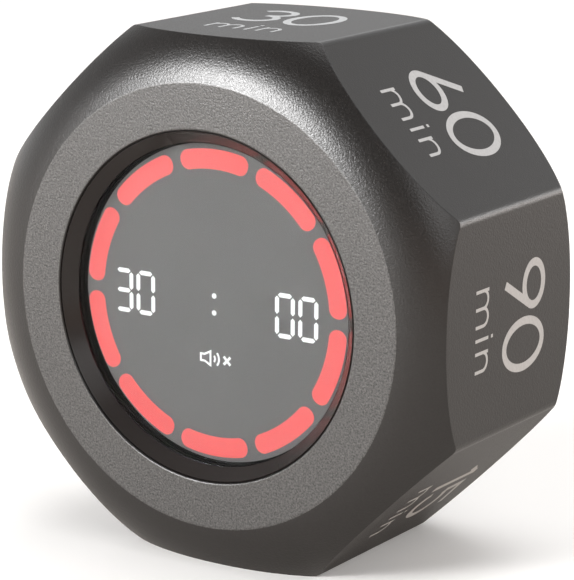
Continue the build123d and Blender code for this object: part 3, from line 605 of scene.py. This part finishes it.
# Display lamps: small light-emitting chips soldered to the lamp board, one under each guide.
# A white ceramic cup filled with phosphor in clear resin: a waxy pale yellow, deeper in grains.
resin, tree, shader, place = finish("phosphor_in_clear_resin", "#eadf9c", 0.25)
grains = add(tree, "ShaderNodeTexNoise", {"Vector": place, "Scale": per(0.15), "Detail": 3.0})
yellow = add(tree, "ShaderNodeMixRGB", {
    "Fac": grains.outputs["Fac"], "Color1": linear("#e0d27c"), "Color2": linear("#f2eabc")})
tree.links.new(yellow.outputs["Color"], shader.inputs["Base Color"])
dress(resin, "display_leds")

# Display and board screws: cross-recessed pan heads, cold-headed and rolled, that cut their own threads.
# Zinc-plated steel: bright blue-grey metal, slightly streaked from the plating barrel.
zinc, tree, shader, place = finish("zinc_plated_steel", "#b4b8bc", 0.32, Metallic=1.0)
barrel = add(tree, "ShaderNodeTexNoise", {"Vector": place, "Scale": per(0.5), "Detail": 4.0})
streaks = add(tree, "ShaderNodeMapRange", {"Value": barrel.outputs["Fac"], "To Min": 0.24, "To Max": 0.44})
plate = add(tree, "ShaderNodeMixRGB", {
    "Fac": barrel.outputs["Fac"], "Color1": linear("#a9adb3"), "Color2": linear("#bfc2c4")})
tree.links.new(streaks.outputs["Result"], shader.inputs["Roughness"])
tree.links.new(plate.outputs["Color"], shader.inputs["Base Color"])
dress(zinc, "display_screws", "board_screws")

# Chips and tilt sensor: packages on the main board that run the timer, charge the cell and feel the turn.
# They are soldered down by their legs or pads.
# Moulded epoxy filled with silica: matt charcoal with a fine, faintly sparkling speck.
epoxy, tree, shader, place = finish("black_moulded_epoxy", "#1e1e20", 0.6)
silica = add(tree, "ShaderNodeTexNoise", {"Vector": place, "Scale": per(0.12), "Detail": 2.0})
filler = add(tree, "ShaderNodeMixRGB", {
    "Fac": silica.outputs["Fac"], "Color1": linear("#18181a"), "Color2": linear("#262628")})
matt = add(tree, "ShaderNodeBump", {"Height": silica.outputs["Fac"], "Distance": 0.008 * MM, "Strength": 1.0})
tree.links.new(filler.outputs["Color"], shader.inputs["Base Color"])
tree.links.new(matt.outputs["Normal"], shader.inputs["Normal"])
dress(epoxy, "controller_chip", "charger_chip", "tilt_sensor")

# Board capacitors: small layered bricks soldered beside the chips.
# Fired barium titanate: a dull tan ceramic with darker fired specks.
ceramic, tree, shader, place = finish("tan_fired_ceramic", "#b1946f", 0.45)
fired = add(tree, "ShaderNodeTexNoise", {"Vector": place, "Scale": per(0.2), "Detail": 3.0})
specks = add(tree, "ShaderNodeMixRGB", {
    "Fac": fired.outputs["Fac"], "Color1": linear("#a08360"), "Color2": linear("#bfa27c")})
tree.links.new(specks.outputs["Color"], shader.inputs["Base Color"])
dress(ceramic, "board_capacitors")

# Battery cell: a lithium pouch, folded and sealed at its edges, taped to the main board.
# Aluminium laminate: soft silver foil with shallow wrinkles over the stack inside.
foil, tree, shader, place = finish("aluminium_laminate_foil", "#c4c6c8", 0.36, Metallic=1.0)
creases = add(tree, "ShaderNodeTexNoise", {"Vector": place, "Scale": per(3.5), "Detail": 3.0})
wrinkle = add(tree, "ShaderNodeBump", {
    "Height": creases.outputs["Fac"], "Distance": 0.25 * MM, "Strength": 0.6})
sheen = add(tree, "ShaderNodeMapRange", {"Value": creases.outputs["Fac"], "To Min": 0.28, "To Max": 0.46})
tree.links.new(wrinkle.outputs["Normal"], shader.inputs["Normal"])
tree.links.new(sheen.outputs["Result"], shader.inputs["Roughness"])
dress(foil, "battery_cell")

# Battery tape: a pad of double-sided tape between the cell and the board.
# White polyethylene foam: matt white, full of small closed cells.
white_foam, tree, shader, place = finish("white_polyethylene_foam", "#e6e5e0", 0.8)
cells = add(tree, "ShaderNodeTexVoronoi", {"Vector": place, "Scale": per(0.3)})
pits = add(tree, "ShaderNodeBump", {
    "Height": cells.outputs["Distance"], "Distance": 0.06 * MM, "Strength": 0.6})
shade = add(tree, "ShaderNodeMixRGB", {
    "Fac": cells.outputs["Distance"], "Color1": linear("#dcdbd5"), "Color2": linear("#efeeea")})
tree.links.new(pits.outputs["Normal"], shader.inputs["Normal"])
tree.links.new(shade.outputs["Color"], shader.inputs["Base Color"])
dress(white_foam, "battery_tape")

# Battery leads: two short stranded wires from the cell's tabs to its plug.
# Soft PVC drawn over the strands: satin red and satin black, with fine lines of the die along them.
for name, dark, light in (("red", "#9c1414", "#b42020"), ("black", "#141414", "#1f1f1f")):
    pvc, tree, shader, place = finish(f"{name}_pvc_insulation", light, 0.42)
    die = add(tree, "ShaderNodeTexNoise", {"Vector": place, "Scale": per(0.4), "Detail": 2.0})
    lines = add(tree, "ShaderNodeMixRGB", {
        "Fac": die.outputs["Fac"], "Color1": linear(dark), "Color2": linear(light)})
    drawn = add(tree, "ShaderNodeBump", {
        "Height": die.outputs["Fac"], "Distance": 0.01 * MM, "Strength": 1.0})
    tree.links.new(lines.outputs["Color"], shader.inputs["Base Color"])
    tree.links.new(drawn.outputs["Normal"], shader.inputs["Normal"])
    dress(pvc, f"battery_lead_{name}")

# Plug and connectors: the battery's plug and the two ends of the ribbon cable, each soldered to its board.
# Moulded nylon: waxy cream, with slight clouds where it flowed in the mould.
nylon, tree, shader, place = finish(
    "cream_nylon", "#ded7c4", 0.45, Subsurface_Weight=0.1, Subsurface_Scale=0.5 * MM)
melt = add(tree, "ShaderNodeTexNoise", {"Vector": place, "Scale": per(1.0), "Detail": 2.0})
waxy = add(tree, "ShaderNodeMixRGB", {
    "Fac": melt.outputs["Fac"], "Color1": linear("#d6ceb8"), "Color2": linear("#e5dfcf")})
tree.links.new(waxy.outputs["Color"], shader.inputs["Base Color"])
dress(nylon, "battery_plug", "display_connector", "main_connector")

# Ribbon cable: a flat cable from the main board to the lamp board, bowed so that it can be plugged in.
# White polyester film laminated over tinned copper strips, which show through as grey lines.
STRIP_PITCH = 1.0
polyester, tree, shader, place = finish("white_polyester_film", "#dcdcda", 0.3)
across = add(tree, "ShaderNodeSeparateXYZ", {"Vector": place})
strip_turns = add(tree, "ShaderNodeMath", {
    0: across.outputs["X"], 1: 2 * pi / (STRIP_PITCH * MM)}, operation="MULTIPLY")
strips = add(tree, "ShaderNodeMath", {0: strip_turns.outputs[0]}, operation="SINE")
lines = add(tree, "ShaderNodeMapRange", {"Value": strips.outputs[0], "From Min": -0.3, "From Max": 0.3})
laminate = add(tree, "ShaderNodeMixRGB", {
    "Fac": lines.outputs["Result"], "Color1": linear("#e4e4e1"), "Color2": linear("#b9babb")})
tree.links.new(laminate.outputs["Color"], shader.inputs["Base Color"])
dress(polyester, "ribbon_cable")

# Black inner mouldings: the buzzer's case, the slide switch's lever and the tact switch's case.
# Glass-filled nylon: satin black with a fine, slightly fibrous mottle.
filled, tree, shader, place = finish("black_glass_filled_nylon", "#1a1a1b", 0.48)
fibres = add(tree, "ShaderNodeTexNoise", {"Vector": place, "Scale": per(0.3), "Detail": 4.0})
mottled = add(tree, "ShaderNodeMixRGB", {
    "Fac": fibres.outputs["Fac"], "Color1": linear("#151516"), "Color2": linear("#212122")})
fibrous = add(tree, "ShaderNodeBump", {
    "Height": fibres.outputs["Fac"], "Distance": 0.01 * MM, "Strength": 1.0})
tree.links.new(mottled.outputs["Color"], shader.inputs["Base Color"])
tree.links.new(fibrous.outputs["Normal"], shader.inputs["Normal"])
dress(filled, "buzzer", "slide_switch_lever", "tact_switch_body")

# Slide switch's can and charging socket's shell: thin sheet folded into shape and soldered to the main board.
# Plated steel: bright neutral metal with fine lines from rolling that blur its reflections.
ALONG_THE_ROLLING = 0.06
sheet, tree, shader, place = finish("nickel_plated_sheet_steel", "#c3c3c2", 0.28, Metallic=1.0)
long_way = add(tree, "ShaderNodeVectorMath", {
    0: place, 1: (1.0, ALONG_THE_ROLLING, 1.0)}, operation="MULTIPLY")
rolling = add(tree, "ShaderNodeTexNoise", {
    "Vector": long_way.outputs["Vector"], "Scale": per(0.12), "Detail": 2.0})
lines = add(tree, "ShaderNodeMapRange", {"Value": rolling.outputs["Fac"], "To Min": 0.2, "To Max": 0.38})
hairs = add(tree, "ShaderNodeBump", {
    "Height": rolling.outputs["Fac"], "Distance": 0.003 * MM, "Strength": 1.0})
tree.links.new(lines.outputs["Result"], shader.inputs["Roughness"])
tree.links.new(hairs.outputs["Normal"], shader.inputs["Normal"])
dress(sheet, "slide_switch_body", "usb_c_shell")

# Charging socket's tongue: the blade inside its shell, moulded round two rows of contacts.
# Black nylon with gold-plated strips 0.25 mm wide at 0.5 mm pitch, which glint in the dark of the socket.
CONTACT_PITCH = 0.5
tongue, tree, shader, place = finish("black_nylon_with_gold_contacts", "#161617", 0.4)
across = add(tree, "ShaderNodeSeparateXYZ", {"Vector": place})
contact_turns = add(tree, "ShaderNodeMath", {
    0: across.outputs["X"], 1: 2 * pi / (CONTACT_PITCH * MM)}, operation="MULTIPLY")
contacts = add(tree, "ShaderNodeMath", {0: contact_turns.outputs[0]}, operation="SINE")
gold = add(tree, "ShaderNodeMath", {0: contacts.outputs[0], 1: 0.0}, operation="GREATER_THAN")
blade = add(tree, "ShaderNodeMixRGB", {
    "Fac": gold.outputs[0], "Color1": linear("#161617"), "Color2": linear("#d8b25a")})
tree.links.new(blade.outputs["Color"], shader.inputs["Base Color"])
tree.links.new(gold.outputs[0], shader.inputs["Metallic"])
dress(tongue, "usb_c_tongue")

# Rear cover: a round moulding that drops into the case from behind and holds the main board on its posts.
# ABS, coloured right through and left as it came from a grained mould, held by four screws.
# Grained black ABS: dark charcoal, more matt than the lacquer, with a fine pebbled grain.
grained, tree, shader, place = finish("grained_black_abs", "#232222", 0.5)
pebble = add(tree, "ShaderNodeTexVoronoi", {"Vector": place, "Scale": per(0.32)}, feature="SMOOTH_F1")
drift = add(tree, "ShaderNodeTexNoise", {"Vector": place, "Scale": per(7.0), "Detail": 2.0})
depth = add(tree, "ShaderNodeMixRGB", {
    "Fac": drift.outputs["Fac"], "Color1": linear("#201f1f"), "Color2": linear("#262525")})
worn = add(tree, "ShaderNodeMapRange", {"Value": drift.outputs["Fac"], "To Min": 0.44, "To Max": 0.56})
grain = add(tree, "ShaderNodeBump", {
    "Height": pebble.outputs["Distance"], "Distance": 0.03 * MM, "Strength": 0.8})
tree.links.new(depth.outputs["Color"], shader.inputs["Base Color"])
tree.links.new(worn.outputs["Result"], shader.inputs["Roughness"])
tree.links.new(grain.outputs["Normal"], shader.inputs["Normal"])
dress(grained, "rear_cover")

# Cover screws: four cross-recessed pan heads sunk in pockets, into posts of the housing.
# Black-oxide steel: dark blue-black metal, a little lighter where a driver has rubbed it.
oxide, tree, shader, place = finish("black_oxide_steel", "#3a3b3e", 0.36, Metallic=1.0)
rubbed = add(tree, "ShaderNodeTexNoise", {"Vector": place, "Scale": per(0.6), "Detail": 4.0})
bluing = add(tree, "ShaderNodeMixRGB", {
    "Fac": rubbed.outputs["Fac"], "Color1": linear("#2d2e31"), "Color2": linear("#4b4c4f")})
bite = add(tree, "ShaderNodeMapRange", {"Value": rubbed.outputs["Fac"], "To Min": 0.28, "To Max": 0.46})
tree.links.new(bluing.outputs["Color"], shader.inputs["Base Color"])
tree.links.new(bite.outputs["Result"], shader.inputs["Roughness"])
dress(oxide, "cover_screws")

# Magnets: four discs glued in pockets under the pad, so that the timer holds to a steel door.
# Nickel-plated neodymium: bright, slightly warm metal with tumbled scuffs.
nickel, tree, shader, place = finish("tumbled_nickel_plate", "#cfccc4", 0.2, Metallic=1.0)
scuffs = add(tree, "ShaderNodeTexNoise", {"Vector": place, "Scale": per(0.5), "Detail": 5.0})
dulled = add(tree, "ShaderNodeMapRange", {"Value": scuffs.outputs["Fac"], "To Min": 0.12, "To Max": 0.32})
tree.links.new(dulled.outputs["Result"], shader.inputs["Roughness"])
dress(nickel, "magnets")

# Back pad: a round pad pressed into the rear cover over the magnets, which grips and doesn't scratch.
# Silicone rubber: matt dark grey that drinks the light, with a faint web of small dimples and some bloom.
silicone, tree, shader, place = finish("matt_silicone_rubber", "#2c2c2c", 0.72)
dimples = add(tree, "ShaderNodeTexVoronoi", {"Vector": place, "Scale": per(0.7)}, feature="SMOOTH_F1")
bloom = add(tree, "ShaderNodeTexNoise", {"Vector": place, "Scale": per(4.0), "Detail": 3.0})
dusty = add(tree, "ShaderNodeMixRGB", {
    "Fac": bloom.outputs["Fac"], "Color1": linear("#272727"), "Color2": linear("#333332")})
soft_skin = add(tree, "ShaderNodeBump", {
    "Height": dimples.outputs["Distance"], "Distance": 0.04 * MM, "Strength": 0.8})
tree.links.new(dusty.outputs["Color"], shader.inputs["Base Color"])
tree.links.new(soft_skin.outputs["Normal"], shader.inputs["Normal"])
dress(silicone, "back_pad")

# Power switch knob and sound button: two keys in the rear cover, on the slide switch and on the tact switch.
# ABS, moulded in a finer grain than the cover and polished a little by use: satin charcoal.
satin_abs, tree, shader, place = finish("satin_charcoal_abs", "#2e2d2d", 0.38)
fine = add(tree, "ShaderNodeTexNoise", {"Vector": place, "Scale": per(0.2), "Detail": 2.0})
touch = add(tree, "ShaderNodeTexNoise", {"Vector": place, "Scale": per(2.0), "Detail": 2.0})
handled = add(tree, "ShaderNodeMapRange", {"Value": touch.outputs["Fac"], "To Min": 0.3, "To Max": 0.46})
charcoal = add(tree, "ShaderNodeMixRGB", {
    "Fac": fine.outputs["Fac"], "Color1": linear("#292828"), "Color2": linear("#343333")})
satin_skin = add(tree, "ShaderNodeBump", {
    "Height": fine.outputs["Fac"], "Distance": 0.01 * MM, "Strength": 1.0})
tree.links.new(handled.outputs["Result"], shader.inputs["Roughness"])
tree.links.new(charcoal.outputs["Color"], shader.inputs["Base Color"])
tree.links.new(satin_skin.outputs["Normal"], shader.inputs["Normal"])
dress(satin_abs, "power_switch_knob", "sound_button")

# Tact switch plunger: the small post that the sound button pushes.
# Red acetal: smooth, slightly waxy red with faint flow marks.
acetal, tree, shader, place = finish("red_acetal", "#a01c1c", 0.3)
flow = add(tree, "ShaderNodeTexNoise", {"Vector": place, "Scale": per(0.8), "Detail": 2.0})
waxy = add(tree, "ShaderNodeMixRGB", {
    "Fac": flow.outputs["Fac"], "Color1": linear("#941616"), "Color2": linear("#aa2424")})
tree.links.new(waxy.outputs["Color"], shader.inputs["Base Color"])
dress(acetal, "tact_switch_plunger")

# Rear marks: ON and OFF at the ends of the power switch and a small loudspeaker over the sound button.
# They are pad-printed on the rear cover with the ink of the numbers.
MARK_HEIGHT = 1.7
MARK_STROKE = 0.26
LETTER_WIDTH = 1.25
LETTER_GAP = 0.45
F_WAIST, F_WAIST_SHORT = 0.52, 0.2
SWITCH_MARK_RISE = 6.9
BUTTON_MARK_RISE = 5.4
BUTTON_MARK_SHIFT = 0.7


def letter(name, left, foot):
    """The strokes of a plain capital O, N or F."""
    right, top, half = left + LETTER_WIDTH, foot + MARK_HEIGHT, MARK_STROKE / 2
    if name == "O":
        centre = ((left + right) / 2, (foot + top) / 2)
        radii = (LETTER_WIDTH / 2 - half, MARK_HEIGHT / 2 - half)
        return [(arc(centre, radii, 0, 360)[:-1], MARK_STROKE, True)]
    stem = left + half
    if name == "N":
        far = right - half
        lines = [((stem, foot), (stem, top)), ((far, foot), (far, top)), ((stem, top), (far, foot))]
    else:
        waist = foot + MARK_HEIGHT * F_WAIST
        lines = [
            ((stem, foot), (stem, top - half), (right, top - half)),
            ((stem, waist), (right - F_WAIST_SHORT, waist)),
        ]
    return [([Vector(p) for p in line], MARK_STROKE) for line in lines]


def word(text, middle, foot):
    """The strokes of a short word in capitals, centred on middle."""
    pitch = LETTER_WIDTH + LETTER_GAP
    left = middle - (len(text) * pitch - LETTER_GAP) / 2
    return [s for i, name in enumerate(text) for s in letter(name, left + i * pitch, foot)]


PAD_STAND = 0.5
cover_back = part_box("back_pad")[1].y - PAD_STAND * MM
knob_low, knob_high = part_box("power_switch_knob")
key_low, key_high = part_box("sound_button")
switch_side = -(knob_low.x + knob_high.x) / 2 / MM
button_side = -(key_low.x + key_high.x) / 2 / MM
from_behind = Matrix(((-MM, 0, 0), (0, 0, MM), (0, MM, 0))).to_4x4()
from_behind.translation = Vector((0, cover_back, axis_height))
marks = {
    "printed_on": word("ON", switch_side, SWITCH_MARK_RISE - MARK_HEIGHT / 2),
    "printed_off": word("OFF", switch_side, -SWITCH_MARK_RISE - MARK_HEIGHT / 2),
    "printed_loudspeaker": loudspeaker((button_side + BUTTON_MARK_SHIFT, BUTTON_MARK_RISE)),
}
for name, strokes in marks.items():
    printed = draw(name, strokes, -INK_SINK, INK_RISE, from_behind)
    printed.data.materials.append(ink)
    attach(printed, "case")

# Studio: a room that is bright at the back and along the horizon, dim elsewhere, and a little warm low on the
# right. It holds a pale floor and four soft lamps: one low in front, a weak one beside it, a broad one high
# behind, and a narrow one behind on the right, which draws the edges between the flats.
ROOM_FRONT, ROOM_BACK, ROOM_HORIZON = 0.12, 1.25, 0.9
CEILING_SHARE = 0.5
room = bpy.data.worlds.new("room")
bpy.context.scene.world = room
room.use_nodes = True
tree = room.node_tree
outlook = add(tree, "ShaderNodeTexCoord", {})
wall = add(tree, "ShaderNodeSeparateXYZ", {"Vector": outlook.outputs["Generated"]})
shade = add(tree, "ShaderNodeMapRange", {
    "Value": wall.outputs["Z"], "From Min": 0.09, "From Max": 0.2, "To Min": ROOM_HORIZON,
    "To Max": ROOM_FRONT})
bright = add(tree, "ShaderNodeMapRange", {
    "Value": wall.outputs["Y"], "From Min": -0.6, "From Max": 0.5, "To Min": shade.outputs["Result"],
    "To Max": ROOM_BACK})
dimmer = add(tree, "ShaderNodeMapRange", {
    "Value": wall.outputs["Z"], "From Min": 0.25, "From Max": 0.5, "To Min": 1.0, "To Max": CEILING_SHARE})
strength = add(tree, "ShaderNodeMath", {
    0: bright.outputs["Result"], 1: dimmer.outputs["Result"]}, operation="MULTIPLY")
skirting = add(tree, "ShaderNodeMapRange", {
    "Value": wall.outputs["Z"], "From Max": 0.35, "To Min": 1.0, "To Max": 0.0})
warmth = add(tree, "ShaderNodeMapRange", {
    "Value": wall.outputs["X"], "From Max": 0.5, "To Min": 0.0, "To Max": skirting.outputs["Result"]})
paint = add(tree, "ShaderNodeMixRGB", {
    "Fac": warmth.outputs["Result"], "Color1": linear("#ffffff"), "Color2": linear("#ffd2b4")})
tree.links.new(strength.outputs[0], tree.nodes["Background"].inputs["Strength"])
tree.links.new(paint.outputs["Color"], tree.nodes["Background"].inputs["Color"])

# Pale floor: white to the camera, where it glows a little, a shade darker and warmer in reflections, and a
# warm half-tone in the light that it throws back. It ends near the front lamp, behind which it would be grey.
FLOOR_GLOW = 0.06
FLOOR_REACH = 0.95
corners = [(x * FLOOR_REACH, y * FLOOR_REACH, 0) for x, y in ((-1, -1), (1, -1), (1, 1), (-1, 1))]
floor_mesh = bpy.data.meshes.new("floor")
floor_mesh.from_pydata(corners, [], [(0, 1, 2, 3)])
floor = bpy.data.objects.new("floor", floor_mesh)
bpy.context.scene.collection.objects.link(floor)
pale_floor, tree, shader, place = finish("pale_floor", "#ffffff", 0.9)
floor_mesh.materials.append(pale_floor)
rays = add(tree, "ShaderNodeLightPath", {})
mirrored = add(tree, "ShaderNodeMath", {
    0: rays.outputs["Is Glossy Ray"], 1: rays.outputs["Is Transmission Ray"]}, operation="MAXIMUM")
mirror = add(tree, "ShaderNodeMixRGB", {
    "Fac": mirrored.outputs[0], "Color1": linear("#c8b8a8"), "Color2": linear("#e8e1da")})
pale = add(tree, "ShaderNodeMixRGB", {
    "Fac": rays.outputs["Is Camera Ray"], "Color1": mirror.outputs["Color"], "Color2": linear("#fffdfb")})
glow = add(tree, "ShaderNodeMath", {0: rays.outputs["Is Camera Ray"], 1: FLOOR_GLOW}, operation="MULTIPLY")
tree.links.new(pale.outputs["Color"], shader.inputs["Base Color"])
tree.links.new(pale.outputs["Color"], shader.inputs["Emission Color"])
tree.links.new(glow.outputs[0], shader.inputs["Emission Strength"])


def softbox(name, bearing, height, distance, size, radiance):
    """A soft rectangular lamp turned to the case, at a bearing from the front and a height in degrees."""
    lamp = bpy.data.lights.new(name, "AREA")
    lamp.shape = "RECTANGLE"
    lamp.size, lamp.size_y = size
    lamp.energy = radiance * pi * size[0] * size[1]
    piece = bpy.data.objects.new(name, lamp)
    bpy.context.scene.collection.objects.link(piece)
    a, e = radians(bearing), radians(height)
    toward = Vector((sin(a) * cos(e), -cos(a) * cos(e), sin(e)))
    piece.location = Vector((0, 0, axis_height)) + toward * distance
    piece.rotation_euler = toward.to_track_quat("Z", "Y").to_euler()
    piece.visible_camera = False


softbox("front_lamp", -29, 14, 0.9, (0.28, 0.28), 52)
softbox("fill_lamp", 60, 30, 0.9, (0.5, 0.5), 2.6)
softbox("high_lamp", 172, 75, 1.6, (1.4, 1.4), 1.9)
softbox("edge_lamp", 146, 11, 0.9, (0.16, 0.4), 9.5)

# Camera: a long lens, above and to the right of the display's axis, as in the photograph.
# Its place, aim and roll were fitted to the edges of the case and of the flat ring.
CAMERA_PLACE = Vector((0.18443, -0.27638, 0.11033))
CAMERA_AIM = Vector((0.00822, -0.01139, 0.03474))
CAMERA_ROLL = radians(0.30)
FOCAL_LENGTH, SENSOR_WIDTH = 170.2, 36.0
NEAR_LIMIT = 0.01
lens = bpy.data.cameras.new("camera")
lens.lens = FOCAL_LENGTH
lens.sensor_width = SENSOR_WIDTH
lens.clip_start = NEAR_LIMIT
camera = bpy.data.objects.new("camera", lens)
bpy.context.scene.collection.objects.link(camera)
back = (CAMERA_PLACE - CAMERA_AIM).normalized()
level = Vector((0, 0, 1)).cross(back).normalized()
up = back.cross(level)
right = level * cos(CAMERA_ROLL) + up * sin(CAMERA_ROLL)
above = up * cos(CAMERA_ROLL) - level * sin(CAMERA_ROLL)
camera.matrix_world = Matrix((right, above, back)).transposed().to_4x4()
camera.location = CAMERA_PLACE
bpy.context.scene.camera = camera
bpy.context.scene.view_settings.view_transform = "Standard"
